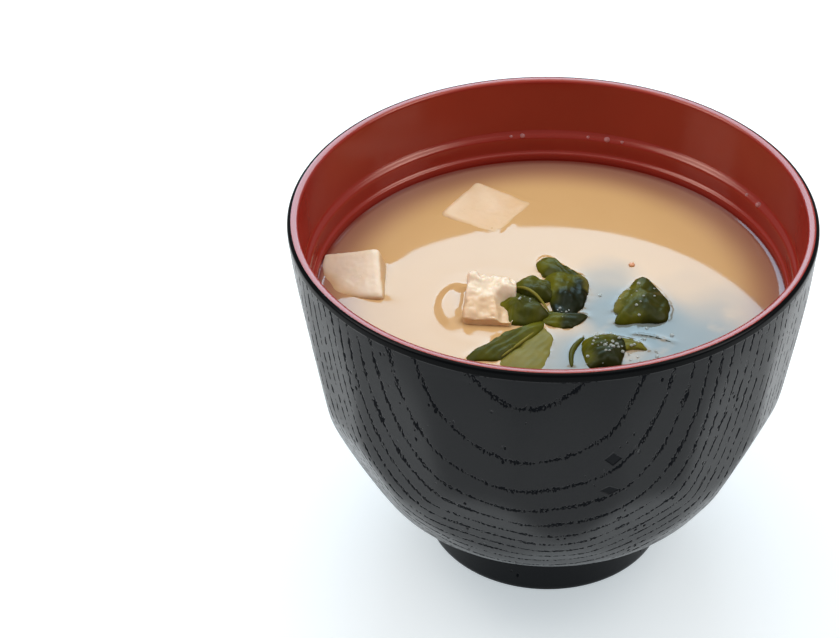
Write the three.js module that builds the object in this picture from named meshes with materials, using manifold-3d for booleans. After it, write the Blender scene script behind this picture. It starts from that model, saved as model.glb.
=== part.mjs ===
// A lacquered bowl of miso soup: the carved bowl, the broth up to its level, three pieces
// of tofu and five pieces of wakame. Millimetres, +Z up, origin at the middle of the foot's
// underside. The side that is towards the diner is -Y.
import * as THREE from 'three';
import { mergeVertices } from 'three/addons/utils/BufferGeometryUtils.js';
import { RoundedBoxGeometry } from 'three/addons/geometries/RoundedBoxGeometry.js';
import Module from 'manifold-3d';

const wasm = await Module();
wasm.setup();

// ---- driving dimensions ----
const RIM_RADIUS = 55;            // outside of the lip
const BOWL_HEIGHT = 84;
const LIP_WALL = 2.4;             // width of the lip seen from above
const FOOT_RADIUS = 27.1;
const FOOT_HEIGHT = 12.5;
const FOOT_WALL = 3.6;
const RECESS_HEIGHT = 10;         // hollow inside the foot ring
const FLOOR_HEIGHT = 17.5;        // lowest point of the inside
const LEDGE_HEIGHT = 70;          // step inside on which a lid's skirt stops
const LEDGE_STEP = 1.3;           // how far it steps in
const SOUP_LEVEL = 63.5;
const GAP = 0.3;                  // between pieces that touch
const BOWL_STEPS = 52;            // sides of the turned bowl
const BROTH_STEPS = 40;

// ---- facets carved round the belly ----
const FACETS_ROUND = 9;
const FACET_PITCH = 360 / FACETS_ROUND;
const FRONT_FACET = 4.7;          // degrees from the front to the middle of the nearest tall facet
// Each row: where its facets stand round the bowl, the two heights at which their half width
// is given, and those half widths in degrees.
const FACET_ROWS = [
  { turn: FRONT_FACET, low: 46, high: 68, lowHalf: 12, highHalf: 10.3 },
  { turn: FRONT_FACET + FACET_PITCH / 2, low: 49, high: 66, lowHalf: 8.2, highHalf: 8.6 },
  { turn: FRONT_FACET + FACET_PITCH / 2, low: 66, high: 77, lowHalf: 9.6, highHalf: 3.5 },
  { turn: FRONT_FACET + FACET_PITCH / 2, low: 29, high: 45.5, lowHalf: 11.5, highHalf: 9.6 },
];
const WALL_SAG = 0.1;             // how far a flat side of the turned wall lies inside its round
const CUTTER = 90;                // size of the block that takes a facet off

// ---- tofu: middle of the block, its sizes, and its turn, in degrees, about X, Y and Z ----
const TOFU = {
  tofu_left: { at: [-40.9, 1.8, 60], size: [12.8, 13.4, 10.6], turn: [11, -15, -3] },
  tofu_back: { at: [-14.8, 30.3, 56.9], size: [15.8, 15.8, 14], turn: [1, 2, -30] },
  tofu_centre: { at: [-12.6, -7.2, 61.2], size: [10.6, 12.6, 13.4], turn: [4, 2, -3] },
};
const TOFU_EDGE = 1.1;            // worn edge radius

// ---- wakame: each lobe is a middle, three half sizes, a turn in degrees about Z, a tilt
// about X, how many waves run round its edge and how deep they are beside its size ----
const WAKAME = {
  wakame_leaf: [
    { at: [3.4, -0.4, 63.5], half: [4.7, 10.6, 2.7], turn: 10, tilt: 4, waves: 3, depth: 0.07 },
    { at: [-0.3, 8, 64], half: [3.0, 3.8, 1.9], turn: 32, tilt: 0, waves: 3, depth: 0.1 },
    { at: [3.4, -11, 63.3], half: [4.6, 2.5, 1.8], turn: 8, tilt: 0, waves: 2, depth: 0.08 },
  ],
  wakame_curl: [
    { at: [-3.9, -0.7, 64.4], half: [4.3, 4.0, 2.8], turn: -16, tilt: 6, waves: 3, depth: 0.08 },
    { at: [-5.2, -8.5, 64.5], half: [4.7, 5.3, 3.0], turn: 24, tilt: 5, waves: 4, depth: 0.08 },
  ],
  wakame_strip: [
    { at: [-9.6, -20.2, 63.6], half: [2.4, 9.4, 1.8], turn: -42, tilt: 2, waves: 4, depth: 0.05 },
    { at: [-4.2, -22.2, 62.7], half: [5.0, 7.0, 1.1], turn: -24, tilt: 0, waves: 3, depth: 0.1 },
  ],
  wakame_right: [
    { at: [19.2, -5.6, 63.4], half: [6.0, 5.7, 3.0], turn: 0, tilt: 6, waves: 3, depth: 0.06 },
    { at: [20.4, 0.6, 63.1], half: [3.8, 5.6, 2.4], turn: 12, tilt: 0, waves: 2, depth: 0.06 },
  ],
  wakame_front: [
    { at: [13.2, -21, 63.4], half: [5.2, 5.1, 2.5], turn: 10, tilt: 5, waves: 4, depth: 0.12 },
    { at: [18.4, -19.4, 63], half: [3.5, 1.6, 1.4], turn: -18, tilt: 0, waves: 2, depth: 0.05 },
  ],
};
const LOBE_SIDES = 15;
const LOBE_RINGS = 7;

const COLOURS = {
  lacquer: { color: '#26292b', roughness: 0.28 },
  broth: { color: '#cda873', roughness: 0.12 },
  tofu: { color: '#ecd9bd', roughness: 0.45 },
  wakame: { color: '#4b4c14', roughness: 0.25 },
};

// ---- small helpers ----
const radians = (degrees) => THREE.MathUtils.degToRad(degrees);

function named(name, geometry, finish) {
  const material = new THREE.MeshStandardMaterial({ ...COLOURS[finish], metalness: 0 });
  const mesh = new THREE.Mesh(geometry, material);
  mesh.name = name;
  return mesh;
}

function bare(geometry) {
  const copy = geometry.clone();
  copy.deleteAttribute('normal');
  copy.deleteAttribute('uv');
  return mergeVertices(copy, 1e-4);
}

function toSolid(geometry) {
  const merged = bare(geometry);
  return new wasm.Manifold(new wasm.Mesh({
    numProp: 3,
    vertProperties: Float32Array.from(merged.attributes.position.array),
    triVerts: Uint32Array.from(merged.index.array),
  }));
}

function toGeometry(solid) {
  const mesh = solid.getMesh();
  const geometry = new THREE.BufferGeometry();
  geometry.setAttribute('position', new THREE.BufferAttribute(mesh.vertProperties, 3));
  geometry.setIndex(new THREE.BufferAttribute(mesh.triVerts, 1));
  geometry.computeVertexNormals();
  return geometry;
}

// What is left of a cut piece once its loose crumbs are thrown away.
function largestPart(solid) {
  return solid.decompose().reduce((big, next) => (next.volume() > big.volume() ? next : big));
}

// The same shape with every corner moved out along its normal.
function grown(geometry, by) {
  const merged = bare(geometry);
  merged.computeVertexNormals();
  const { position, normal } = merged.attributes;
  for (let i = 0; i < position.count; i += 1) {
    position.setXYZ(
      i,
      position.getX(i) + by * normal.getX(i),
      position.getY(i) + by * normal.getY(i),
      position.getZ(i) + by * normal.getZ(i),
    );
  }
  return merged;
}

function turned(profile, steps) {
  const geometry = new THREE.LatheGeometry(profile.map(([r, z]) => new THREE.Vector2(r, z)), steps);
  return geometry.rotateX(Math.PI / 2);
}

// ---- the bowl ----
// Outside of the turned blank, from the foot to the lip: a foot with a slight waist, a full
// round belly and an almost upright wall.
const FOOT_OUTSIDE = [
  [FOOT_RADIUS - 0.5, 0], [FOOT_RADIUS, 0.6], [FOOT_RADIUS - 0.2, 4],
  [FOOT_RADIUS - 0.4, 8], [FOOT_RADIUS + 0.5, 10.6],
];
const BELLY = new THREE.SplineCurve([
  [FOOT_RADIUS + 2.6, FOOT_HEIGHT], [38.2, 18.4], [42.7, 25], [46.6, 32], [49.9, 40.4],
  [52.2, 50], [53.5, 59], [54.4, 70], [RIM_RADIUS, 80],
].map(([r, z]) => new THREE.Vector2(r, z)));
const BELLY_POINTS = 11;

function bellyRadius(height) {
  let near = BELLY.getPoint(0);
  for (let i = 1; i <= 400; i += 1) {
    const point = BELLY.getPoint(i / 400);
    if (Math.abs(point.y - height) < Math.abs(near.y - height)) near = point;
  }
  return near.x;
}

const LIP_INSIDE = RIM_RADIUS - LIP_WALL;
const INSIDE_ABOVE_SOUP = [
  [LIP_INSIDE + 0.35, BOWL_HEIGHT - 0.35], [LIP_INSIDE, BOWL_HEIGHT - 1.2],
  [LIP_INSIDE - 0.3, LEDGE_HEIGHT + 5], [LIP_INSIDE - 0.45, LEDGE_HEIGHT + 1],
  [LIP_INSIDE - 0.9, LEDGE_HEIGHT], [LIP_INSIDE - LEDGE_STEP, LEDGE_HEIGHT - 0.4],
  [LIP_INSIDE - LEDGE_STEP - 0.4, LEDGE_HEIGHT - 1.2],
];
const SOUP_RADIUS = RIM_RADIUS - LIP_WALL - LEDGE_STEP - 1.4;
const INSIDE_BELOW_SOUP = [
  [SOUP_RADIUS, SOUP_LEVEL], [49.1, 57], [47.6, 48], [44.8, 39], [40.6, 31.2],
  [34.6, 24.6], [27, 20.4], [17, 18.2], [0, FLOOR_HEIGHT],
];

function bowlBlank() {
  const recess = [
    [0, RECESS_HEIGHT], [FOOT_RADIUS - FOOT_WALL - 2.4, RECESS_HEIGHT],
    [FOOT_RADIUS - FOOT_WALL, RECESS_HEIGHT - 2.6], [FOOT_RADIUS - FOOT_WALL, 0],
  ];
  const belly = BELLY.getPoints(BELLY_POINTS).map((point) => [point.x, point.y]);
  const lip = [
    [RIM_RADIUS, BOWL_HEIGHT - 1.1], [RIM_RADIUS - 0.35, BOWL_HEIGHT - 0.35],
    [RIM_RADIUS - 1.1, BOWL_HEIGHT], [LIP_INSIDE + 1.1, BOWL_HEIGHT],
  ];
  return turned(
    [...recess, ...FOOT_OUTSIDE, ...belly, ...lip, ...INSIDE_ABOVE_SOUP, ...INSIDE_BELOW_SOUP],
    BOWL_STEPS,
  );
}

// A block whose inner face is the plane of one facet.
function facetCutter(row, index) {
  const lowRadius = bellyRadius(row.low) * Math.cos(radians(row.lowHalf));
  const highRadius = bellyRadius(row.high) * Math.cos(radians(row.highHalf));
  const lean = Math.atan2(highRadius - lowRadius, row.high - row.low);
  const block = new THREE.BoxGeometry(CUTTER, CUTTER, CUTTER);
  block.translate(0, -CUTTER / 2, 0);
  block.rotateX(lean);
  block.translate(0, -(lowRadius + highRadius) / 2, (row.low + row.high) / 2);
  return toSolid(block.rotateZ(radians(row.turn + index * FACET_PITCH)));
}

function makeBowl() {
  let bowl = toSolid(bowlBlank());
  for (const row of FACET_ROWS) {
    for (let index = 0; index < FACETS_ROUND; index += 1) {
      bowl = bowl.subtract(facetCutter(row, index));
    }
  }
  return named('bowl', toGeometry(bowl), 'lacquer');
}

// ---- tofu: a block with worn edges ----
function tofuBlock({ at, size, turn }) {
  const block = new RoundedBoxGeometry(...size, 1, TOFU_EDGE);
  block.rotateX(radians(turn[0])).rotateY(radians(turn[1])).rotateZ(radians(turn[2]));
  return block.translate(...at);
}

// ---- wakame: thick lobes with a wavy edge, joined ----
function lobe({ at, half, turn, tilt, waves, depth }) {
  const ball = bare(new THREE.SphereGeometry(1, LOBE_SIDES, LOBE_RINGS).rotateX(Math.PI / 2));
  const { position } = ball.attributes;
  for (let i = 0; i < position.count; i += 1) {
    const [x, y, z] = [position.getX(i), position.getY(i), position.getZ(i)];
    const outward = Math.hypot(x, y);
    const round = Math.atan2(y, x);
    const edge = 1 + depth * outward * Math.cos(waves * round);
    const lift = depth * half[2] * outward * outward * Math.sin(waves * round + 1);
    position.setXYZ(i, x * half[0] * edge, y * half[1] * edge, z * half[2] + lift);
  }
  return ball.rotateX(radians(tilt)).rotateZ(radians(turn)).translate(...at);
}

function joinedLobes(lobes, growth) {
  return lobes
    .map((each) => toSolid(growth ? grown(lobe(each), growth) : lobe(each)))
    .reduce((whole, next) => whole.add(next));
}

// ---- the broth: the inside of the bowl up to the soup's level, clear of the wall ----
function brothBlank() {
  const wall = INSIDE_BELOW_SOUP.map(([r, z]) => [Math.max(r - GAP - WALL_SAG, 0), z + GAP]);
  const outline = [[0, SOUP_LEVEL], [SOUP_RADIUS - GAP, SOUP_LEVEL], ...wall.slice(1)];
  return turned(outline.reverse(), BROTH_STEPS);
}

// Every piece in the soup is cut clear of the ones before it, and the broth of them all.
function makeFillings() {
  const meshes = [];
  let taken = null;
  const place = (name, solid, room, finish) => {
    const cut = taken ? largestPart(solid.subtract(taken)) : solid;
    meshes.push(named(name, toGeometry(cut), finish));
    taken = taken ? taken.add(room) : room;
  };
  for (const [name, block] of Object.entries(TOFU)) {
    place(name, toSolid(tofuBlock(block)), toSolid(grown(tofuBlock(block), GAP)), 'tofu');
  }
  for (const [name, lobes] of Object.entries(WAKAME)) {
    place(name, joinedLobes(lobes, 0), joinedLobes(lobes, GAP), 'wakame');
  }
  const broth = toSolid(brothBlank()).subtract(taken);
  meshes.push(named('broth', toGeometry(broth), 'broth'));
  return meshes;
}

const soup = new THREE.Group();
soup.add(makeBowl(), ...makeFillings());

export default soup;
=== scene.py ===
import math
from random import Random

import bmesh
import bpy
from mathutils import Matrix, Vector, noise
from mathutils.bvhtree import BVHTree


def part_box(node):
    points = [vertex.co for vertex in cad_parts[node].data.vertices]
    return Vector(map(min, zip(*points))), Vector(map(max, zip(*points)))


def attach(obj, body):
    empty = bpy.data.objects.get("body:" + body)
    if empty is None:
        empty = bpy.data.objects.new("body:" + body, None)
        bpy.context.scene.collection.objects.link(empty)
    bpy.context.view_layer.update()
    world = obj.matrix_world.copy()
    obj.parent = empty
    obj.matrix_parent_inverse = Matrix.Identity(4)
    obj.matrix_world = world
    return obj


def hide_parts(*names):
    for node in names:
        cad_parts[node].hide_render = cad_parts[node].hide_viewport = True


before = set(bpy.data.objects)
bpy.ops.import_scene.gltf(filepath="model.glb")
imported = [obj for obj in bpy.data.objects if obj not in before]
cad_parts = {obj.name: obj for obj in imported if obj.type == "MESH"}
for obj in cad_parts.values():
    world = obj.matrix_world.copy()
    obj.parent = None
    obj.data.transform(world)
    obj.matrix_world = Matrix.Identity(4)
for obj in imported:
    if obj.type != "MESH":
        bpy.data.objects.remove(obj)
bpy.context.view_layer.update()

MM = 0.001

# ---- the bowl's driving dimensions ----
RIM_RADIUS = 55 * MM
BOWL_HEIGHT = 84 * MM
LIP_ROUND = 0.6 * MM              # radius of the lip's two rounded corners
LIP_CROWN = 2.3 * MM              # radius of the crowned top between them
LIP_SPREAD = 20                   # degrees of that crown to each side of its top
LIP_BAND = 1.8 * MM               # height of the smooth band under the lip
LIP_STEP = 0.08 * MM              # how far the carved wall lies inside that band
COLOUR_LINE = 54.3 * MM           # radius on the lip's top where black meets red
SOUP_LEVEL = 63.5 * MM
SOUP_RADIUS = 49.9 * MM
BOWL_STEPS = 320
BROTH_STEPS = 360

# ---- shared shape helpers ----


def mm(points):
    """The same points, given in millimetres, as vectors in metres."""
    return [Vector(point) * MM for point in points]


def curve(points, steps, closed=False):
    """Points along a smooth curve through the given ones, so many steps to each span."""
    count = len(points)
    made = []
    for span in range(count if closed else count - 1):
        near = [span - 1, span, span + 1, span + 2]
        if closed:
            near = [index % count for index in near]
        near = [min(max(index, 0), count - 1) for index in near]
        before, start, end, after = (points[index] for index in near)
        for step in range(steps):
            t = step / steps
            cubic = 3 * (start - end) + after - before
            square = 2 * before - 5 * start + 4 * end - after
            made.append(start + 0.5 * t * (end - before + t * (square + t * cubic)))
    if not closed:
        made.append(points[-1])
    return made


def corner(centre, radius, start, end, steps=6):
    """A rounded corner of a profile, from one angle in degrees to another."""
    made = []
    for step in range(steps + 1):
        angle = math.radians(start + (end - start) * step / steps)
        made.append(centre + Vector((math.cos(angle), math.sin(angle))) * radius)
    return made


def ease(value, low, high):
    """0 up to low, 1 from high on, and a smooth rise between them."""
    t = min(max((value - low) / (high - low), 0), 1)
    return t * t * (3 - 2 * t)


def spun(shape, profile, steps):
    """Turns a profile of (radius, height) points round the Z axis and returns its faces."""
    before = set(shape.faces)
    verts = [shape.verts.new((point.x, 0, point.y)) for point in profile]
    edges = [shape.edges.new(pair) for pair in zip(verts, verts[1:])]
    bmesh.ops.spin(
        shape, geom=verts + edges, cent=(0, 0, 0), axis=(0, 0, 1), dvec=(0, 0, 0),
        angle=math.tau, steps=steps, use_merge=True,
    )
    return [face for face in shape.faces if face not in before]


def make_piece(name, shape, finishes, nodes=()):
    """The finished piece: a smooth mesh that rides on the part and stands for CAD nodes."""
    mesh = bpy.data.meshes.new(name)
    shape.to_mesh(mesh)
    shape.free()
    mesh.shade_smooth()
    for finish in finishes:
        mesh.materials.append(finish.material)
    piece = bpy.data.objects.new(name, mesh)
    bpy.context.scene.collection.objects.link(piece)
    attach(piece, "root")
    if nodes:
        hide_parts(*nodes)
    return piece


# ---- materials: values worked out by nodes ----


class Value:
    """A value in a material's nodes. Arithmetic on it adds Math nodes."""

    def __init__(self, finish, output):
        self.finish = finish
        self.output = output

    def __add__(self, other):
        return self.finish.maths("ADD", self, other)

    def __radd__(self, other):
        return self.finish.maths("ADD", other, self)

    def __sub__(self, other):
        return self.finish.maths("SUBTRACT", self, other)

    def __rsub__(self, other):
        return self.finish.maths("SUBTRACT", other, self)

    def __mul__(self, other):
        return self.finish.maths("MULTIPLY", self, other)

    def __rmul__(self, other):
        return self.finish.maths("MULTIPLY", other, self)

    def __truediv__(self, other):
        return self.finish.maths("DIVIDE", self, other)

    def __pow__(self, other):
        return self.finish.maths("POWER", self, other)


class Finish:
    """A material. Its patterns read the object's own coordinates, in millimetres."""

    def __init__(self, name, **constants):
        self.material = bpy.data.materials.new(name)
        self.material.use_nodes = True
        self.nodes = self.material.node_tree.nodes
        self.links = self.material.node_tree.links
        self.nodes.clear()
        sockets = {key.replace("_", " "): value for key, value in constants.items()}
        self.shader = self.node("BsdfPrincipled", {}, sockets)
        self.output = self.node("OutputMaterial", {}, {"Surface": self.shader.outputs["BSDF"]})
        self.within = self.node("TexCoord")
        self.place = self.turned(0)

    def node(self, kind, settings=None, sockets=None):
        made = self.nodes.new("ShaderNode" + kind)
        for name, value in (settings or {}).items():
            setattr(made, name, value)
        for name, value in (sockets or {}).items():
            self.feed(made.inputs[name], value)
        return made

    def feed(self, socket, value):
        value = value.output if isinstance(value, Value) else value
        if isinstance(value, bpy.types.NodeSocket):
            self.links.new(value, socket)
        else:
            socket.default_value = value

    def maths(self, operation, *values):
        made = self.node("Math", {"operation": operation}, dict(enumerate(values)))
        return Value(self, made.outputs[0])

    def turned(self, degrees, stretch=(1, 1, 1)):
        """The place on the object in millimetres, turned about Z and then stretched."""
        sockets = {
            "Vector": self.within.outputs["Object"],
            "Rotation": (0, 0, math.radians(degrees)),
            "Scale": [each / MM for each in stretch],
        }
        return self.node("Mapping", {}, sockets).outputs["Vector"]

    def axes(self, vector):
        split = self.node("SeparateXYZ", {}, {"Vector": vector})
        return [Value(self, split.outputs[axis]) for axis in "XYZ"]

    def joined(self, x, y, z):
        return self.node("CombineXYZ", {}, {"X": x, "Y": y, "Z": z}).outputs["Vector"]

    def attribute(self, name):
        made = self.node("Attribute", {"attribute_name": name})
        return Value(self, made.outputs["Fac"])

    def ease(self, value, low, high):
        sockets = {"Value": value, "From Min": low, "From Max": high}
        made = self.node("MapRange", {"interpolation_type": "SMOOTHSTEP"}, sockets)
        return Value(self, made.outputs["Result"])

    def cloud(self, size, detail=2.0, place=None, seed=0.0):
        """Soft noise from 0 to 1 whose lumps are about so many millimetres across."""
        sockets = {
            "Vector": place or self.place, "W": seed, "Scale": 1 / size, "Detail": detail,
        }
        made = self.node("TexNoise", {"noise_dimensions": "4D"}, sockets)
        return Value(self, made.outputs["Fac"])

    def cells(self, size, place=None):
        """Distance to the nearest of many scattered points, in cells of the given size."""
        sockets = {"Vector": place or self.place, "Scale": 1 / size}
        made = self.node("TexVoronoi", {}, sockets)
        return Value(self, made.outputs["Distance"])

    def blend(self, factor, first, second):
        made = self.node("Mix", {"data_type": "RGBA"}, {0: factor, 6: first, 7: second})
        return Value(self, made.outputs[2])

    def show(self, colour=None, roughness=None, height=None, alpha=None):
        """Feeds the shader. The height is in millimetres."""
        if colour is not None:
            self.feed(self.shader.inputs["Base Color"], colour)
        if roughness is not None:
            self.feed(self.shader.inputs["Roughness"], roughness)
        if alpha is not None:
            self.feed(self.shader.inputs["Alpha"], alpha)
        if height is not None:
            bump = self.node("Bump", {}, {"Height": height, "Distance": MM})
            self.feed(self.shader.inputs["Normal"], bump.outputs["Normal"])
        return self

    def darken(self, share, colour):
        """Takes the shine off part of the surface, as in the depth of a pore."""
        matte = self.node("BsdfDiffuse", {}, {"Color": colour})
        sockets = {0: share, 1: self.shader.outputs["BSDF"], 2: matte.outputs["BSDF"]}
        mixed = self.node("MixShader", {}, sockets)
        self.feed(self.output.inputs["Surface"], mixed.outputs["Shader"])
        return self


def paint(red, green, blue):
    """A linear colour with its alpha."""
    return (red, green, blue, 1.0)


# ---- finishes ----
GRAIN_TURN = 4.0                  # degrees, from the front to where the ring lines are lowest
GRAIN_FRONT = 55.6                # millimetres from the axis to where the rings start
GRAIN_BEND = 9.6                  # millimetres that the rings bend back at most
GRAIN_CURVE = 0.0068              # how fast they bend back, per millimetre squared
RING_PITCH = 0.9                  # millimetres to the first ring
RING_GROWTH = 0.09                # how much each ring is wider than the one before it
# Chipped corners between the front facets: middle x and z, and half sizes, in millimetres.
NICKS = [(13.2, 60.7, 1.9, 2.1), (12.8, 51.4, 2.2, 1.4)]
RING_SHIFT = 7.3                  # how far the noise is moved on from one ring to the next
PORES_FROM = (12.2, 12.8)         # heights over which the pores begin: the foot has none
PORE_DEPTH = 0.3                  # millimetres
NICK_DEPTH = 0.5                  # millimetres
INK = (0.004, 0.005, 0.007, 1.0)  # what shows in the depth of a pore


def carved_lacquer():
    """Black lacquer over open-pored wood: each growth ring is a broken line of pores."""
    finish = Finish("carved_black_lacquer", IOR=1.255)
    x, y, z = finish.axes(finish.place)
    deep = finish.maths("MAXIMUM", finish.attribute("depth"), 0.0)
    grown = finish.maths("SQRT", RING_PITCH ** 2 + 2 * RING_GROWTH * deep)
    ring = (grown - RING_PITCH) / RING_GROWTH
    number = finish.maths("ROUND", ring)
    off_ring = finish.maths("ABSOLUTE", ring - number) * (RING_PITCH + RING_GROWTH * ring)
    steep = finish.maths("MAXIMUM", finish.attribute("steep"), 0.05)
    front_on = 1 - steep
    strokes = finish.joined(x, number * RING_SHIFT, z * 0.3)
    flat = finish.joined(x, number * RING_SHIFT, z)
    jagged = (finish.cloud(0.42, 1.0, strokes) - 0.5) * (0.15 + 2.6 * front_on)
    wander = (finish.cloud(5.0, 1.0, flat) - 0.5) * (0.3 + 1.2 * front_on)
    off_line = finish.maths("ABSOLUTE", off_ring / steep + jagged + wander)
    dashes = finish.ease(finish.cloud(0.55, 1.0, strokes, 3.0) + 0.13 * front_on, 0.46, 0.53)
    pores = (1 - finish.ease(off_line, 0.06 + 0.14 * front_on, 0.24 + 0.24 * front_on)) * dashes
    pores = pores * finish.ease(ring, 0.4, 0.6) * finish.ease(z, *PORES_FROM)
    spots = 1 - finish.ease(finish.cells(1.5, finish.turned(0, (1, 1, 0.55))), 0.17, 0.27)
    spots = spots * finish.ease(finish.cloud(6.0, 1.0), 0.6, 0.64) * finish.ease(front_on, 0.1, 0.4)
    pores = finish.maths("MAXIMUM", pores, spots)
    nick = 0.0
    for middle_x, middle_z, wide, tall in NICKS:
        beside = finish.maths("ABSOLUTE", x - middle_x) / wide
        above = finish.maths("ABSOLUTE", z - middle_z) / tall
        off_nick = beside + above + 10.0 * finish.maths("GREATER_THAN", y, 0.0)
        nick = finish.maths("MAXIMUM", nick, 1 - finish.ease(off_nick, 0.75, 1.0))
    satin = finish.cloud(1.1, 3.0)
    broad = finish.cloud(14.0)
    colour = finish.blend(pores, paint(0.004, 0.005, 0.0065), paint(0.001, 0.001, 0.001))
    height = 0.012 * satin - PORE_DEPTH * pores - NICK_DEPTH * nick
    finish.show(colour, 0.2 + 0.08 * broad + 0.2 * pores, height)
    cut = finish.maths("MAXIMUM", 0.85 * finish.ease(pores, 0.45, 0.9), 0.6 * nick)
    return finish.darken(cut, INK)


def smooth_lacquer():
    finish = Finish("smooth_black_lacquer", IOR=1.14)
    broad = finish.cloud(9.0)
    colour = finish.blend(broad, paint(0.001, 0.0015, 0.002), paint(0.002, 0.0025, 0.003))
    return finish.show(colour, 0.12 + 0.08 * broad, 0.01 * finish.cloud(2.5))


def red_lacquer():
    """Glossy red lacquer, with the faint level marks that a brush leaves round a bowl."""
    finish = Finish("red_lacquer", IOR=1.47)
    finish.feed(finish.shader.inputs["Specular Tint"], paint(1.0, 0.74, 0.62))
    broad = finish.cloud(16.0)
    brushed = finish.cloud(1.0, 2.0, finish.turned(0, (0.08, 0.08, 1.6)))
    colour = finish.blend(broad, paint(0.27, 0.015, 0.009), paint(0.33, 0.022, 0.013))
    return finish.show(colour, 0.13 + 0.1 * broad, 0.012 * brushed + 0.03 * finish.cloud(8.0))


WALL_TINT = 12.0                  # millimetres from the wall over which the broth darkens


def broth_finish():
    """Clouded broth: tan, red-brown where it thins to the wall, grey-green over weed."""
    finish = Finish("miso_broth", IOR=1.34)
    x, y, _ = finish.axes(finish.place)
    from_middle = finish.maths("SQRT", x * x + y * y)
    wall = finish.ease(from_middle, SOUP_RADIUS / MM - WALL_TINT, SOUP_RADIUS / MM)
    haze = finish.cloud(13.0, 3.0)
    colour = finish.blend(haze, paint(0.60, 0.375, 0.165), paint(0.64, 0.41, 0.19))
    colour = finish.blend(wall, colour, paint(0.33, 0.15, 0.10))
    edge = finish.ease(from_middle, SOUP_RADIUS / MM - 1.4, SOUP_RADIUS / MM - 0.1)
    murk = finish.attribute("murk") * finish.ease(finish.cloud(9.0, 3.0, None, 4.0), 0.1, 0.45)
    colour = finish.blend(murk, colour, paint(0.13, 0.16, 0.155))
    colour = finish.blend(edge, colour, paint(0.19, 0.035, 0.02))
    fine = finish.ease(finish.cells(0.9), 0.05, 0.3)
    return finish.show(colour, 0.045 + 0.03 * haze, 0.006 * haze + 0.001 * fine)


def tofu_finish():
    """Silken tofu: cream, with pinholes, stained by the broth where it is wet, and darkened with
    painted shade on some faces.
    """
    finish = Finish("tofu", IOR=1.38, Subsurface_Weight=0.35, Subsurface_Scale=1.5 * MM)
    finish.feed(finish.shader.inputs["Subsurface Radius"], (1.0, 0.6, 0.35))
    broad = finish.cloud(5.0, 3.0)
    stain_and_shade = finish.attribute("stain_and_shade")
    pinholes = 1 - finish.ease(finish.cells(1.1) + 0.5 * finish.cloud(3.0), 0.26, 0.36)
    colour = finish.blend(broad, paint(0.83, 0.68, 0.50), paint(0.88, 0.76, 0.60))
    # The stain colour also paints shade: on the middle block's front and on the left block's right
    # side.
    colour = finish.blend(stain_and_shade, colour, paint(0.68, 0.43, 0.20))
    colour = finish.blend(pinholes * 0.25, colour, paint(0.6, 0.4, 0.24))
    height = 0.03 * finish.cloud(0.7, 3.0) - 0.05 * pinholes
    return finish.show(colour, 0.34 + 0.2 * broad, height)


def wakame_finish():
    """Wet seaweed: near black where thick and on its painted-shade side, olive, and pale and
    see-through where thin.
    """
    finish = Finish("wakame", IOR=1.3, Specular_IOR_Level=0.15)
    film = finish.attribute("film")
    broad = finish.ease(finish.cloud(4.0, 3.0), 0.3, 0.7)
    fine = finish.cloud(0.7, 3.0)
    thick = finish.attribute("thick")
    colour = finish.blend(broad, paint(0.045, 0.055, 0.002), paint(0.11, 0.11, 0.003))
    colour = finish.blend(fine * 0.35, colour, paint(0.17, 0.16, 0.01))
    # Near black: thick weed, together with painted shade on one side of each lobe.
    colour = finish.blend(thick, colour, paint(0.005, 0.009, 0.004))
    colour = finish.blend(film, colour, paint(0.27, 0.24, 0.035))
    height = 0.035 * finish.cloud(2.2, 2.0) + 0.012 * fine
    return finish.show(colour, 0.25 + 0.25 * fine, height, 1 - 0.3 * film)


def clear_finish(name, colour):
    """Bubbles and droplets: thin and shiny, with a pale colour that is a painted highlight."""
    finish = Finish(name, Base_Color=colour, IOR=1.4)
    return finish.show(roughness=0.05 + 0.1 * finish.cloud(0.5), alpha=0.45)


def crumb_finish():
    finish = Finish("chilli_crumb", IOR=1.4)
    colour = finish.blend(finish.cloud(0.5), paint(0.6, 0.2, 0.08), paint(0.75, 0.4, 0.2))
    return finish.show(colour, 0.3 + 0.2 * finish.cloud(0.4), 0.1 * finish.cloud(0.4))


def floor_finish():
    finish = Finish("pale_floor", Emission_Color=paint(0.85, 0.95, 1), Emission_Strength=0.45)
    colour = finish.blend(finish.cloud(60.0), paint(0.78, 0.78, 0.78), paint(0.8, 0.8, 0.8))
    return finish.show(colour, 0.6)


# ---- the bowl ----
FOOT_OUTSIDE = mm([(27.1, 0.6), (26.9, 4), (26.65, 8), (26.9, 10), (27.7, 11.4)])
BELLY = mm([
    (29.7, 12.5), (38.2, 18.4), (42.7, 25), (46.6, 32), (49.9, 40.4),
    (52.2, 50), (53.5, 59), (54.4, 70), (54.85, 80),
])
BELLY_STEPS = 14
RECESS = mm([(0, 10), (19, 10), (21.1, 9.7), (22.9, 8.6), (23.5, 7), (23.5, 0.7), (24.1, 0)])
WALL_INSIDE = mm([
    (52.6, 82.6), (52.3, 75), (52.18, 71.5), (52.05, 70.9), (51.75, 70.5), (51.35, 70.2),
    (51.0, 69.85), (50.86, 69.3), (50.82, 68.2), (50.78, 66.9), (50.7, 66.4), (50.45, 66.1),
    (50.1, 65.85), (49.95, 65.4), (49.9, 64.6), (49.9, 63.5), (49.1, 57), (47.6, 48), (44.8, 39),
    (40.6, 31.2), (34.6, 24.6), (27, 20.4), (17, 18.2), (0, 17.5),
])
WALL_STEPS = 4

FACETS_ROUND = 9
FRONT_FACET = 4.7                 # degrees from the front to the nearest tall facet
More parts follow.
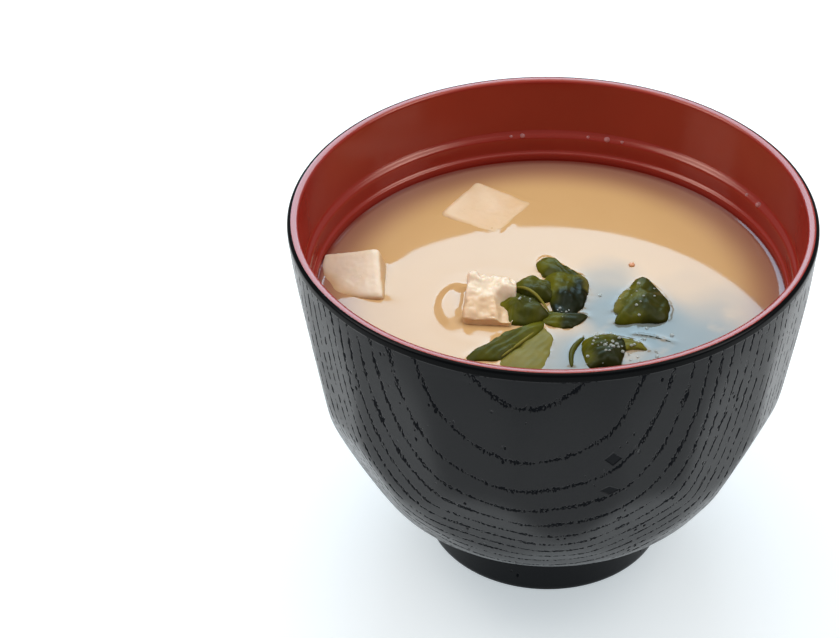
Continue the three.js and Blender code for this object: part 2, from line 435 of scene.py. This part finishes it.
# Each row of facets: its turn round the bowl, the two heights in millimetres at which its
# half width is given, and those half widths in degrees.
FACET_ROWS = [
    (FRONT_FACET, 46, 68, 12, 10.3),
    (FRONT_FACET + 180 / FACETS_ROUND, 49, 66, 8.2, 8.6),
    (FRONT_FACET + 180 / FACETS_ROUND, 66, 77, 9.6, 3.5),
    (FRONT_FACET + 180 / FACETS_ROUND, 29, 45.5, 11.5, 9.6),
]
FACET_EDGE = 0.33 * MM           # how softly one facet runs into the next


def belly_radius(height):
    """Radius of the turned belly before the facets are carved."""
    return min(curve(BELLY, 50), key=lambda point: abs(point.y - height)).x


def facet_planes():
    """Each facet's turn in radians, its radius at height 0, and how much it leans out."""
    planes = []
    for turn, low, high, low_half, high_half in FACET_ROWS:
        low_radius = belly_radius(low * MM) * math.cos(math.radians(low_half))
        high_radius = belly_radius(high * MM) * math.cos(math.radians(high_half))
        lean = (high_radius - low_radius) / ((high - low) * MM)
        for index in range(FACETS_ROUND):
            around = math.radians(turn + index * 360 / FACETS_ROUND)
            planes.append((around, low_radius - lean * low * MM, lean))
    return planes


def ring_bend(off):
    """How far a growth ring has bent back at this many millimetres from the middle."""
    near = GRAIN_CURVE * off ** 2
    return near * GRAIN_BEND / (near ** 3 + GRAIN_BEND ** 3) ** (1 / 3)


def mark_grain(shape):
    """Notes each point's depth in the growth rings, and how steeply the wall cuts them.

    Both are taken on the turned blank, so that the facets don't break the rings' lines.
    """
    shape.normal_update()
    depth = shape.verts.layers.float.new("depth")
    steep = shape.verts.layers.float.new("steep")
    turn = math.radians(GRAIN_TURN)
    front = Vector((-math.sin(turn), -math.cos(turn), 0))
    beside = Vector((math.cos(turn), -math.sin(turn), 0))
    for vert in shape.verts:
        off = vert.co.dot(beside) / MM
        bend = ring_bend(abs(off))
        slope = ring_bend(abs(off) + 1) - bend
        rings = front + beside * math.copysign(slope, off)
        vert[depth] = GRAIN_FRONT - vert.co.dot(front) / MM - bend
        vert[steep] = math.sqrt(max(rings.length_squared - vert.normal.dot(rings) ** 2, 0))


def carve(verts):
    """Moves the belly in to the facets, with soft edges between them."""
    planes = facet_planes()
    for vert in verts:
        radius = vert.co.xy.length
        around = math.atan2(vert.co.x, -vert.co.y)
        limits = [radius]
        for turn, base, lean in planes:
            beside = math.cos(around - turn)
            if beside > 0.85:
                limits.append((base + lean * vert.co.z) / beside)
        least = min(limits)
        spread = sum(math.exp((least - limit) / FACET_EDGE) for limit in limits)
        carved = least - FACET_EDGE * math.log(spread)
        vert.co.xy *= carved / radius


def lip_profile():
    """The lip from its outside over its crowned top to its inside."""
    spread = math.radians(LIP_SPREAD)
    apart = LIP_CROWN - LIP_ROUND
    middle = RIM_RADIUS - LIP_ROUND - apart * math.sin(spread)
    crown = Vector((middle, BOWL_HEIGHT - LIP_CROWN))
    outer = crown + apart * Vector((math.sin(spread), math.cos(spread)))
    inner = crown + apart * Vector((-math.sin(spread), math.cos(spread)))
    start = 90 - LIP_SPREAD
    end = 90 + LIP_SPREAD
    top = corner(crown, LIP_CROWN, start, end, 8)
    return corner(outer, LIP_ROUND, 0, start)[:-1] + top + corner(inner, LIP_ROUND, end, 180)[1:]


def make_bowl():
    shape = bmesh.new()
    lip = lip_profile()
    black = sum(point.x > COLOUR_LINE for point in lip) + 1
    band = BOWL_HEIGHT - LIP_BAND
    under = RIM_RADIUS - LIP_STEP
    outside = RECESS + curve(FOOT_OUTSIDE, 4) + curve(BELLY, BELLY_STEPS)
    outside += [Vector((under, band - 0.2 * MM)), Vector((under, band))]
    outside += [Vector((RIM_RADIUS, band + LIP_STEP)), Vector((RIM_RADIUS, band + 0.2 * MM))]
    outside += lip[:black]
    faces = spun(shape, outside, BOWL_STEPS)
    for face in faces:
        middle = face.calc_center_median()
        face.material_index = int(middle.z > band)
    bmesh.ops.remove_doubles(shape, verts=shape.verts, dist=0.002 * MM)
    mark_grain(shape)
    carve([vert for vert in shape.verts if BELLY[0].y <= vert.co.z <= BELLY[-1].y])
    inside = lip[black - 1:]
    inside += curve(WALL_INSIDE, WALL_STEPS)
    for face in spun(shape, inside, BOWL_STEPS):
        face.material_index = 2
    bmesh.ops.remove_doubles(shape, verts=shape.verts, dist=0.002 * MM)
    bmesh.ops.recalc_face_normals(shape, faces=shape.faces)
    finishes = [carved_lacquer(), smooth_lacquer(), red_lacquer()]
    make_piece("lacquered_bowl", shape, finishes, ["bowl"])


# ---- tofu ----
TOFU_VOXEL = 0.28 * MM
STAIN_RISE = 1.2 * MM             # how far up a block the broth stains it
CRUMBLE = (0.5, 0.7)              # millimetres, all over the middle block's top and more behind
RAGGED_EDGE = 0.9                 # millimetres that its far edge is torn in and out
WORN_CORNER = 2.6                 # millimetres that its front right corner is lower
SLUMP = 1.6                       # millimetres that its front edge is lower
# How the left block is changed from the CAD's: wider, skewed, turned, tipped and moved.
LEFT_WIDER = 1.1
LEFT_SKEW = 0.2
LEFT_TURN = -4                    # degrees about Z
LEFT_TIP = 4                      # degrees about X, so that its front edge lies low
LEFT_MOVE = Vector((-0.6, 0.8, 0.3)) * MM
WALL_GAP = 0.25 * MM              # what is left to the wall before it is roughened


def fine_copy(node):
    """A finely remeshed copy of a CAD node, as a bmesh."""
    draft = bmesh.new()
    draft.from_mesh(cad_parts[node].data)
    bmesh.ops.remove_doubles(draft, verts=draft.verts, dist=0.001 * MM)
    mesh = bpy.data.meshes.new("draft")
    draft.to_mesh(mesh)
    draft.free()
    piece = bpy.data.objects.new("draft", mesh)
    bpy.context.scene.collection.objects.link(piece)
    remesh = piece.modifiers.new("remesh", "REMESH")
    remesh.mode = "VOXEL"
    remesh.voxel_size = TOFU_VOXEL
    ready = piece.evaluated_get(bpy.context.evaluated_depsgraph_get())
    shape = bmesh.new()
    shape.from_mesh(ready.to_mesh())
    ready.to_mesh_clear()
    bpy.data.objects.remove(piece)
    bpy.data.meshes.remove(mesh)
    return shape


def roughen(shape, broad, fine, seed):
    """Moves a surface in and out by soft noise; both amounts are in millimetres."""
    shape.normal_update()
    for vert in shape.verts:
        place = vert.co / MM + Vector((seed, 0, 0))
        amount = broad * noise.noise(place * 0.22) + fine * noise.noise(place * 0.9)
        vert.co += vert.normal * amount * MM


def tear(shape):
    """Breaks the middle block: a crumbled top, a ragged far edge, a low front and corner."""
    low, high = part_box("tofu_centre")
    middle = (low + high) / 2
    for vert in shape.verts:
        above = ease(vert.co.z, SOUP_LEVEL + 1 * MM, SOUP_LEVEL + 4 * MM)
        place = vert.co / MM
        back = ease(vert.co.y, low.y + 5 * MM, high.y - 1 * MM)
        ragged = noise.noise(place * 0.45) + 0.5 * noise.noise(place * 1.1)
        vert.co.z += (CRUMBLE[0] + CRUMBLE[1] * back) * ragged * above * MM
        torn = noise.noise(Vector((place.x * 0.9, 0, place.z * 0.3)))
        vert.co.y += RAGGED_EDGE * torn * above * back * MM
        right = ease(vert.co.x, middle.x + 0.5 * MM, middle.x + 3.0 * MM)
        front = 1 - ease(vert.co.y, middle.y - 1.0 * MM, middle.y + 1.2 * MM)
        slump = 1 - ease(vert.co.y, low.y, middle.y + 1.0 * MM)
        vert.co.z -= max(WORN_CORNER * right * front, SLUMP * slump) * above * MM


def settle(shape):
    """Brings the left block closer to the wall than the CAD keeps it, but not into it."""
    middle = sum(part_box("tofu_left"), Vector()) / 2
    for vert in shape.verts:
        off = vert.co - middle
        vert.co.x = middle.x + LEFT_WIDER * off.x - LEFT_SKEW * off.y
    turn = Matrix.Rotation(math.radians(LEFT_TURN), 3, "Z")
    tip = Matrix.Rotation(math.radians(LEFT_TIP), 3, "X")
    bmesh.ops.rotate(shape, verts=shape.verts, cent=middle, matrix=turn @ tip)
    bmesh.ops.translate(shape, verts=shape.verts, vec=LEFT_MOVE)
    inside = curve(WALL_INSIDE, 6)
    for vert in shape.verts:
        wall = min(inside, key=lambda point: abs(point.y - vert.co.z)).x - WALL_GAP
        out = vert.co.xy.length
        if out > wall:
            vert.co.xy *= wall / out


def make_tofu(node, name, finish, broad, fine, seed):
    shape = fine_copy(node)
    for _ in range(5):
        bmesh.ops.smooth_vert(
            shape, verts=shape.verts, factor=0.5,
            use_axis_x=True, use_axis_y=True, use_axis_z=True,
        )
    if node == "tofu_centre":
        tear(shape)
    if node == "tofu_left":
        settle(shape)
    roughen(shape, broad, fine, seed)
    # Each point's broth stain, with painted shade added on some faces.
    stain_and_shade = shape.verts.layers.float.new("stain_and_shade")
    shape.normal_update()
    for vert in shape.verts:
        wet = 1 - ease(vert.co.z, SOUP_LEVEL, SOUP_LEVEL + STAIN_RISE)
        vert[stain_and_shade] = 0.85 * wet
        if node == "tofu_centre":
            # Broth stain and painted shade: the middle block's front takes the stain colour.
            front = 1 - ease(vert.co.y, -9.5 * MM, -6 * MM)
            vert[stain_and_shade] = max(vert[stain_and_shade], 0.65 * front)
        if node == "tofu_left":
            # Painted shade: the left block's side that faces +x takes the stain colour.
            beside = ease(vert.normal.x, 0.5, 0.85)
            vert[stain_and_shade] = max(vert[stain_and_shade], 0.75 * beside)
    return make_piece(name, shape, [finish], [node])


# ---- wakame ----
LOBE_SIDES = 96
LOBE_RINGS = 40


def reach_table(outline):
    """The outline's middle, and how far it reaches from there in any direction."""
    edge = curve(outline, 10, closed=True)
    middle = sum(edge, Vector((0, 0))) / len(edge)
    spokes = [point - middle for point in edge]
    spokes = sorted((math.atan2(spoke.y, spoke.x), spoke.length) for spoke in spokes)
    spokes = [(spokes[-1][0] - math.tau, spokes[-1][1])] + spokes
    spokes += [(spokes[1][0] + math.tau, spokes[1][1])]

    def reach(angle):
        for (low, near), (high, far) in zip(spokes, spokes[1:]):
            if low <= angle <= high:
                share = (angle - low) / max(high - low, 1e-6)
                return near + (far - near) * share
        return spokes[0][1]

    return middle, reach


def add_lobe(
    shape, outline, rise, sink, level=0.0, grain=0.0, ribs=0.0, film=0.0, pale=None, thick_and_shaded_side=None,
):
    """A wet lobe of weed over an outline, in millimetres.

    It rises and sinks so far from its level, which is beside the soup's. Ribs run along it
    in the direction grain, in degrees. film is how thin it is all over. pale is the
    direction, the spread in degrees and the strength of a thin margin. The last setting is
    the direction and the strength of its near-black side, which is thick weed and painted
    shade together.
    """
    middle, reach = reach_table(mm(outline))
    thin = shape.verts.layers.float["film"]
    thick = shape.verts.layers.float["thick"]
    made = bmesh.ops.create_uvsphere(
        shape, u_segments=LOBE_SIDES, v_segments=LOBE_RINGS, radius=1,
    )
    along = Vector((math.cos(math.radians(grain)), math.sin(math.radians(grain))))
    across = Vector((-along.y, along.x))
    reaches = {}
    for vert in made["verts"]:
        outward = vert.co.xy.length
        angle = math.atan2(vert.co.y, vert.co.x)
        heading = Vector((math.cos(angle), math.sin(angle)))
        key = round(angle, 4)
        if key not in reaches:
            ragged = noise.noise(Vector((heading.x * 3, heading.y * 3, middle.x / MM)))
            reaches[key] = reach(angle) * (1 + 0.06 * ragged)
        spot = middle + heading * reaches[key] * outward
        place = Vector((spot.x, spot.y, 0)) / MM
        height = vert.co.z * (rise if vert.co.z > 0 else sink)
        rib = math.sin(across.dot(spot) / MM * 4.2 + 1.5 * noise.noise(place * 0.25))
        folds = noise.noise(place * 0.28) + 0.25 * noise.noise(place * 0.8)
        if vert.co.z > 0:
            height += (ribs * rib + folds * 0.35 * rise) * (1 - outward ** 6)
        ruffle = 0.3 * outward ** 3 * math.sin(5 * angle + middle.y / MM)
        vert[thin] = film * (0.85 + 0.3 * noise.noise(place * 0.5))
        if pale:
            towards, spread, strength = pale
            beside = abs((math.degrees(angle) - towards + 180) % 360 - 180)
            margin = ease(outward, 0.6, 0.92) * (1 - ease(beside, spread * 0.6, spread))
            vert[thin] = max(vert[thin], strength * margin)
        # The lobe's near-black side: thick weed and painted shade, darker towards the given
        # direction.
        if thick_and_shaded_side:
            towards, strength = thick_and_shaded_side
            lean = outward * math.cos(angle - math.radians(towards))
            vert[thick] = strength * ease(lean + 0.3 * noise.noise(place * 0.35), -0.55, 0.3)
        vert.co = Vector((spot.x, spot.y, SOUP_LEVEL + (level + height + ruffle) * MM))


def add_strand(shape, points, radius, film=0.0, thick=0.0):
    """A thin strand of weed along points that are (x, y, height above the soup)."""
    line = curve(mm(points), 8)
    thin = shape.verts.layers.float["film"]
    deep = shape.verts.layers.float["thick"]
    rings = []
    for index, point in enumerate(line):
        ahead = line[min(index + 1, len(line) - 1)] - line[max(index - 1, 0)]
        share = index / (len(line) - 1)
        size = radius * MM * (0.25 + 0.75 * math.sin(math.pi * share) ** 0.5)
        made = bmesh.ops.create_circle(shape, segments=10, radius=size)
        turn = ahead.to_track_quat("Z", "Y").to_matrix()
        bmesh.ops.rotate(shape, verts=made["verts"], cent=(0, 0, 0), matrix=turn)
        bmesh.ops.translate(
            shape, verts=made["verts"], vec=point + Vector((0, 0, SOUP_LEVEL)),
        )
        for vert in made["verts"]:
            vert[thin] = film
            vert[deep] = thick
        rings.append(made["verts"])
    for first, second in zip(rings, rings[1:]):
        edges = {edge for ring in (first, second) for vert in ring for edge in vert.link_edges}
        loops = [edge for edge in edges if not edge.link_faces or len(edge.link_faces) == 1]
        loops = [
            edge for edge in loops
            if all(vert in first for vert in edge.verts) or all(vert in second for vert in edge.verts)
        ]
        bmesh.ops.bridge_loops(shape, edges=loops)
    for ring in (rings[0], rings[-1]):
        bmesh.ops.contextual_create(shape, geom=ring)


def make_weed(name, node, finish, lobes, strands=()):
    shape = bmesh.new()
    shape.verts.layers.float.new("film")
    shape.verts.layers.float.new("thick")
    for lobe in lobes:
        add_lobe(shape, **lobe)
    for strand in strands:
        add_strand(shape, **strand)
    bmesh.ops.remove_doubles(shape, verts=shape.verts, dist=0.001 * MM)
    bmesh.ops.recalc_face_normals(shape, faces=shape.faces)
    return make_piece(name, shape, [finish], [node])


# The near-black side given for each lobe is thick weed together with painted shade.
LEAF = [
    dict(
        outline=[
            (-1.0, 3.6), (-1.2, -1), (0.2, -6), (1.6, -10.4), (4.6, -10.6), (7.2, -6.2),
            (8.5, -1.0), (8.0, 3.2), (6.2, 5.0), (3.0, 5.4),
        ],
        rise=2.5, sink=2.2, grain=80, ribs=0.05, pale=(40, 45, 0.5), thick_and_shaded_side=(-40, 0.95),
    ),
    dict(
        outline=[
            (-1.3, 11.4), (-3.0, 8.8), (-2.6, 6.2), (-0.4, 3.2), (3.5, 1.5), (6.6, 2.4),
            (7.4, 4.4), (5.2, 6.0), (2.4, 8.6), (0.5, 10.8),
        ],
        rise=1.8, sink=1.5, grain=120, ribs=0.05, pale=(40, 75, 1.0), thick_and_shaded_side=(-60, 0.5),
    ),
    dict(
        outline=[
            (-1.5, -9.2), (3, -8.6), (7.8, -9.0), (7.6, -10.8), (4.6, -13.7), (1.4, -13.5),
            (-1.8, -11.9),
        ],
        rise=1.3, sink=1.5, grain=0, ribs=0.08, thick_and_shaded_side=(0, 0.8),
    ),
]
CURL = [
    dict(
        outline=[
            (-7.9, -0.6), (-5.8, 1.9), (-3.2, 2.5), (-0.1, 1.2), (1.4, -1.6), (0.6, -4.8),
            (-2.8, -5.2), (-6.4, -3.8),
        ],
        rise=3.0, sink=2.2, grain=-20, ribs=0.04, thick_and_shaded_side=(-50, 0.6),
    ),
    dict(
        outline=[
            (-11.4, -5.4), (-9.3, -3.4), (-6.6, -3.2), (-2.6, -5.8), (0.2, -10.0), (-1.6, -12.0),
            (-4.3, -13.4), (-8.2, -13.3), (-9.2, -10.4), (-11.0, -8),
        ],
        rise=3.2, sink=2.2, grain=35, ribs=0.04, pale=(165, 50, 0.3), thick_and_shaded_side=(0, 0.5),
    ),
]
CURL_SEAM = [
    dict(
        points=[(-7.4, -2.2, 1.7), (-5.2, -3.9, 3.0), (-2.6, -6.6, 3.1), (0.2, -10.4, 1.5)],
        radius=0.34, film=0.9,
    ),
]
STRIP = [
    dict(
        outline=[
            (-1.2, -11.6), (-4.9, -13.6), (-8.4, -16.0), (-11.9, -19.6), (-15.1, -22.6),
            (-16.6, -24.4), (-14.8, -25.6), (-9.6, -25.0), (-5.6, -20.4), (-1.6, -15.4),
        ],
        rise=1.6, sink=1.4, grain=45, ribs=0.14, thick_and_shaded_side=(-120, 0.35),
    ),
    dict(
        outline=[
            (-1.6, -12.6), (0.3, -15.8), (1.0, -19.4), (0.0, -24.4), (-1.0, -27.4),
            (-6.6, -28.4), (-10.2, -26.6), (-7.4, -22.2), (-4.4, -17),
        ],
        rise=0.6, sink=0.9, grain=60, ribs=0.04, film=0.8,
    ),
]
STRIP_STREAK = [
    dict(points=[(-2.4, -15.6, 0.8), (-5.4, -19.6, 0.8), (-9.4, -24.6, 0.7)], radius=0.3, film=1.0),
]
RIGHT = [
    dict(
        outline=[
            (19.4, 4.0), (21.8, 2.2), (24.2, -1.4), (25.4, -5.8), (25.1, -8.8), (23.8, -11.0),
            (19, -11.4), (14.0, -12.0), (14.5, -8.8), (13.4, -7.0), (14.3, -3.8), (16.4, 0.4),
        ],
        rise=2.7, sink=2.2, grain=70, ribs=0.05, pale=(165, 60, 0.7), thick_and_shaded_side=(-10, 0.7),
    ),
]
FRONT = [
    dict(
        outline=[
            (6.8, -18.8), (9.4, -16.9), (12.4, -16.0), (15.2, -17.4), (16.2, -19.6),
            (15.6, -22.0), (14.6, -26.0), (11.2, -26.4), (8.4, -26.8), (7.2, -23.2),
        ],
        rise=2.4, sink=2.0, grain=20, ribs=0.1, pale=(100, 60, 0.4), thick_and_shaded_side=(-30, 0.85),
    ),
    dict(
        outline=[
            (13.6, -16.6), (16.6, -17.0), (19.4, -18.6), (20.6, -20.6), (18.4, -20.4),
            (14.6, -20.6),
        ],
        rise=0.9, sink=1.3, grain=-20, ribs=0.05, film=0.35,
    ),
]
FRONT_STRANDS = [
    dict(
        points=[(7.4, -16.8, 0.1), (5.7, -19.6, 0.2), (4.8, -22.8, 0.2), (4.9, -26.6, 0.1)],
        radius=0.62, thick=0.4,
    ),
    dict(
        points=[(17.8, -15.2, 0.0), (21.6, -15.9, 0.03), (25.6, -17.6, 0.0)],
        radius=0.16, thick=0.9,
    ),
]

# ---- the broth ----
WALL_CREEP = 0.6                  # millimetres that the broth climbs at the wall
WALL_CREEP_OVER = 1.0             # and how far out it has fallen to a third of that
# The same at each piece in it: tofu wets well, weed lies almost flush.
PIECE_CREEP = {
    "tofu_block_left": (0.6, 1.6), "tofu_block_back": (0.15, 0.8), "tofu_block_centre": (0.9, 1.5),
}
WEED_CREEP = (0.25, 0.7)
INTO_WALL = 0.4 * MM              # how far the broth reaches into the bowl's wall
RING_STEP = 0.42 * MM
CREEP_REACH = (4 * MM, 8 * MM)    # how far from a piece the climb dies away
# Faint rings run out from the middle block. All of these are in millimetres.
BLOCK_REACH = 7
RIPPLE_HEIGHT = 0.1
RIPPLE_LENGTH = 5.5
RIPPLE_FADE = 4.0
# To the left of the middle block the broth stands higher, and falls off over these distances.
SHELF_HEIGHT = 0.85
SHELF_FALL = (2.6, 5.2)
# Where weed below the surface darkens the broth: middle, half sizes and strength.
CLOUDS = [
    ((15, -10), (16, 13), 0.9), ((13, 3), (9, 9), 0.5), ((27, -15), (14, 12), 0.85),
    ((3, -22), (12, 12), 0.55), ((16, -24), (22, 9), 0.8), ((30, -12), (20, 18), 0.3),
]


def murkiness(spot):
    """How much weed darkens the broth at a spot, from 0 to 1."""
    swirl = noise.noise(Vector((spot.x * 0.12, spot.y * 0.12, 3)))
    clear = 1.0
    for (x, y), (wide, deep), strength in CLOUDS:
        off = math.hypot((spot.x - x) / wide, (spot.y - y) / deep) + 0.35 * swirl
        clear *= 1 - strength * (1 - ease(off, 0.35, 1.15))
    return 1 - clear


def as_tree(piece):
    """A piece's surface, ready to be searched."""
    verts = [vert.co for vert in piece.data.vertices]
    sides = [tuple(polygon.vertices) for polygon in piece.data.polygons]
    return BVHTree.FromPolygons(verts, sides)


def make_broth(pieces):
    """The broth to its level, climbing a little at the wall and at each piece in it."""
    shape = bmesh.new()
    surface = [Vector((0, SOUP_LEVEL))]
    while surface[-1].x < SOUP_RADIUS - 2.5 * MM:
        surface.append(surface[-1] + Vector((RING_STEP, 0)))
    while surface[-1].x < SOUP_RADIUS + INTO_WALL:
        surface.append(surface[-1] + Vector((RING_STEP / 2, 0)))
    below = [point for point in WALL_INSIDE if point.y < SOUP_LEVEL - 1 * MM]
    below = [Vector((point.x + INTO_WALL, point.y - INTO_WALL)) for point in below[:-1]]
    bottom = Vector((0, WALL_INSIDE[-1].y - INTO_WALL))
    edge = surface[-1] - Vector((0, 1.5 * MM))
    spun(shape, surface + curve([edge] + below + [bottom], 3), BROTH_STEPS)
    bmesh.ops.remove_doubles(shape, verts=shape.verts, dist=0.001 * MM)
    bmesh.ops.recalc_face_normals(shape, faces=shape.faces)
    trees = []
    for piece in pieces:
        trees.append((as_tree(piece), PIECE_CREEP.get(piece.name, WEED_CREEP)))
    low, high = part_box("tofu_centre")
    block = (low + high).xy / 2 / MM
    murk = shape.verts.layers.float.new("murk")
    for vert in shape.verts:
        if vert.co.z < SOUP_LEVEL - 0.001 * MM:
            continue
        spot = vert.co.xy / MM
        from_wall = max(SOUP_RADIUS - vert.co.xy.length, 0) / MM
        height = WALL_CREEP * math.exp(-from_wall / WALL_CREEP_OVER)
        climbs = [0.0]
        for tree, (climb, over) in trees:
            place, normal, _, gap = tree.find_nearest(vert.co, CREEP_REACH[1])
            if gap is not None:
                away = (vert.co - place).normalized()
                if away.dot(normal) < 0:
                    away = -away
                # Nothing climbs over a top that lies flush, and little climbs in front.
                side_on = (1 - ease(away.z, 0.5, 0.85)) * (1 - 0.85 * ease(-away.y, 0.1, 0.7))
                near = 1 - ease(gap, *CREEP_REACH)
                climbs.append(side_on * near * climb * math.exp(-gap / MM / over))
        height += max(climbs)
        off_block = max((spot - block).length - BLOCK_REACH, 0)
        wave = math.cos(math.tau * off_block / RIPPLE_LENGTH)
        height += RIPPLE_HEIGHT * wave * math.exp(-off_block / RIPPLE_FADE)
        left = ease((block - spot).normalized().x, 0.55, 0.9)
        height += SHELF_HEIGHT * left * (1 - ease(off_block, *SHELF_FALL))
        vert[murk] = murkiness(spot)
        vert.co.z += height * MM
    return make_piece("miso_soup", shape, [broth_finish()], ["broth"])


# ---- small things: bubbles, droplets and a crumb ----
# Where bubbles gather: the middle's x and y, the spread, and how many, in millimetres.
BUBBLES = [
    (11.2, -21.2, 2.6, 36), (19.5, -4.6, 2.4, 14), (22.5, -20.5, 3.2, 16),
    (3.5, -10, 1.2, 6), (-5.4, -8.4, 1.0, 5),
]
DROPLET_TURNS = (72, 76, 81, 98, 101, 33, 28)
DROPLET_RADIUS = 51.5 * MM        # from the axis, on the ledge
DROPLET_HEIGHT = 70.1 * MM
CRUMB_AT = Vector((17.7, 9.5, 63.6)) * MM
CRUMB_SIZE = 0.7 * MM


def add_dome(shape, place, radius, flat=0.7):
    made = bmesh.ops.create_icosphere(shape, subdivisions=2, radius=radius)
    bmesh.ops.scale(shape, vec=(1, 1, flat), verts=made["verts"])
    bmesh.ops.translate(shape, vec=place, verts=made["verts"])


def make_bubbles(under):
    """Small bubbles that sit on the weed and beside it."""
    draw = Random(5)
    trees = [as_tree(piece) for piece in under]
    shape = bmesh.new()
    for x, y, spread, count in BUBBLES:
        for _ in range(count):
            above = Vector((draw.gauss(x, spread), draw.gauss(y, spread), 90)) * MM
            radius = draw.uniform(0.15, 0.4) ** 1.3 * 1.6 * MM
            tops = [tree.ray_cast(above, Vector((0, 0, -1)))[0] for tree in trees]
            tops = [top.z for top in tops if top]
            if tops and above.xy.length < SOUP_RADIUS:
                above.z = max(tops) + 0.2 * radius
                add_dome(shape, above, radius)
    # The bubbles' whitish colour is a painted reflection of the bright surroundings.
    painted_reflection_white = clear_finish("bubble_film", paint(0.6, 0.67, 0.64))
    return make_piece("bubbles", shape, [painted_reflection_white])


def make_droplets():
    """Droplets standing on the ledge inside the wall."""
    draw = Random(8)
    shape = bmesh.new()
    for degrees in DROPLET_TURNS:
        angle = math.radians(degrees)
        place = Vector((math.cos(angle), math.sin(angle), 0)) * DROPLET_RADIUS
        place.z = DROPLET_HEIGHT
        add_dome(shape, place, draw.uniform(0.4, 0.8) * MM, 0.8)
    # The droplets' light pink is a painted highlight over the red wall.
    painted_highlight_pink = clear_finish("droplet", paint(0.75, 0.36, 0.36))
    return make_piece("droplets", shape, [painted_highlight_pink])


def make_crumb():
    shape = bmesh.new()
    add_dome(shape, CRUMB_AT, CRUMB_SIZE, 0.5)
    return make_piece("chilli_crumb", shape, [crumb_finish()])


# ---- the table, the light and the camera ----
CAMERA_AT = (0, -0.34273, 0.31539)
CAMERA_TURN = 4.66                # degrees about the vertical
CAMERA_TIP = 52.82                # degrees up from straight down
CAMERA_ROLL = -1.376              # degrees about its own line of sight
CAMERA_LENS = 85                  # millimetres, on a sensor 36 mm wide


def make_floor():
    shape = bmesh.new()
    bmesh.ops.create_grid(shape, x_segments=1, y_segments=1, size=3)
    mesh = bpy.data.meshes.new("floor")
    shape.to_mesh(mesh)
    shape.free()
    mesh.materials.append(floor_finish().material)
    floor = bpy.data.objects.new("floor", mesh)
    bpy.context.scene.collection.objects.link(floor)


def add_softbox(name, at, size, radiance, colour, lights_matte=True):
    """A rectangular lamp aimed at the soup. Without lights_matte it only shows in gloss."""
    lamp = bpy.data.lights.new(name, "AREA")
    lamp.shape = "RECTANGLE"
    lamp.size, lamp.size_y = size
    lamp.color = colour
    lamp.energy = radiance * math.pi * size[0] * size[1]
    piece = bpy.data.objects.new(name, lamp)
    piece.location = at
    aim = Vector((0, 0, SOUP_LEVEL)) - Vector(at)
    piece.rotation_euler = aim.to_track_quat("-Z", "Y").to_euler()
    piece.visible_camera = False
    piece.visible_diffuse = lights_matte
    bpy.context.scene.collection.objects.link(piece)


def light_scene():
    world = bpy.data.worlds.new("studio")
    world.use_nodes = True
    background = world.node_tree.nodes["Background"]
    background.inputs["Color"].default_value = (0.97, 0.98, 1.0, 1.0)
    background.inputs["Strength"].default_value = 0.5
    bpy.context.scene.world = world
    window = (0.5, 0.78, 1.0)
    daylight = (1.0, 0.98, 0.95)
    add_softbox("back_panel", (-0.045, 0.50, 0.45), (0.42, 0.34), 7.8, window, False)
    add_softbox("overhead_box", (0.0, 0.25, 0.95), (0.7, 0.7), 1.75, daylight)
    add_softbox("left_box", (-0.56, 0.08, 0.82), (0.46, 0.5), 3.7, daylight)
    add_softbox("right_box", (0.58, 0.06, 0.80), (0.46, 0.5), 3.1, daylight)
    add_softbox("left_glint", (-0.68, -0.12, 0.62), (0.4, 0.5), 5.0, daylight, False)
    add_softbox("right_glint", (0.68, -0.12, 0.62), (0.4, 0.5), 5.0, daylight, False)


def place_camera():
    camera = bpy.data.cameras.new("camera")
    camera.lens = CAMERA_LENS
    camera.sensor_width = 36
    piece = bpy.data.objects.new("camera", camera)
    turn = Matrix.Rotation(math.radians(CAMERA_TURN), 4, "Z")
    tip = Matrix.Rotation(math.radians(CAMERA_TIP), 4, "X")
    roll = Matrix.Rotation(math.radians(CAMERA_ROLL), 4, "Z")
    piece.matrix_world = Matrix.Translation(CAMERA_AT) @ turn @ tip @ roll
    bpy.context.scene.collection.objects.link(piece)
    bpy.context.scene.camera = piece


# ---- everything together ----
bpy.context.scene.view_settings.view_transform = "Standard"
place_camera()
light_scene()
make_floor()
make_bowl()
tofu = tofu_finish()
weed = wakame_finish()
in_soup = [
    make_tofu("tofu_left", "tofu_block_left", tofu, 0.35, 0.06, 0),
    make_tofu("tofu_back", "tofu_block_back", tofu, 0.25, 0.05, 20),
    make_tofu("tofu_centre", "tofu_block_centre", tofu, 0.3, 0.16, 40),
    make_weed("weed_leaf", "wakame_leaf", weed, LEAF),
    make_weed("weed_curl", "wakame_curl", weed, CURL, CURL_SEAM),
    make_weed("weed_strip", "wakame_strip", weed, STRIP, STRIP_STREAK),
    make_weed("weed_right", "wakame_right", weed, RIGHT),
    make_weed("weed_front", "wakame_front", weed, FRONT, FRONT_STRANDS),
]
soup = make_broth(in_soup)
make_bubbles(in_soup[3:] + [soup])
make_droplets()
make_crumb()
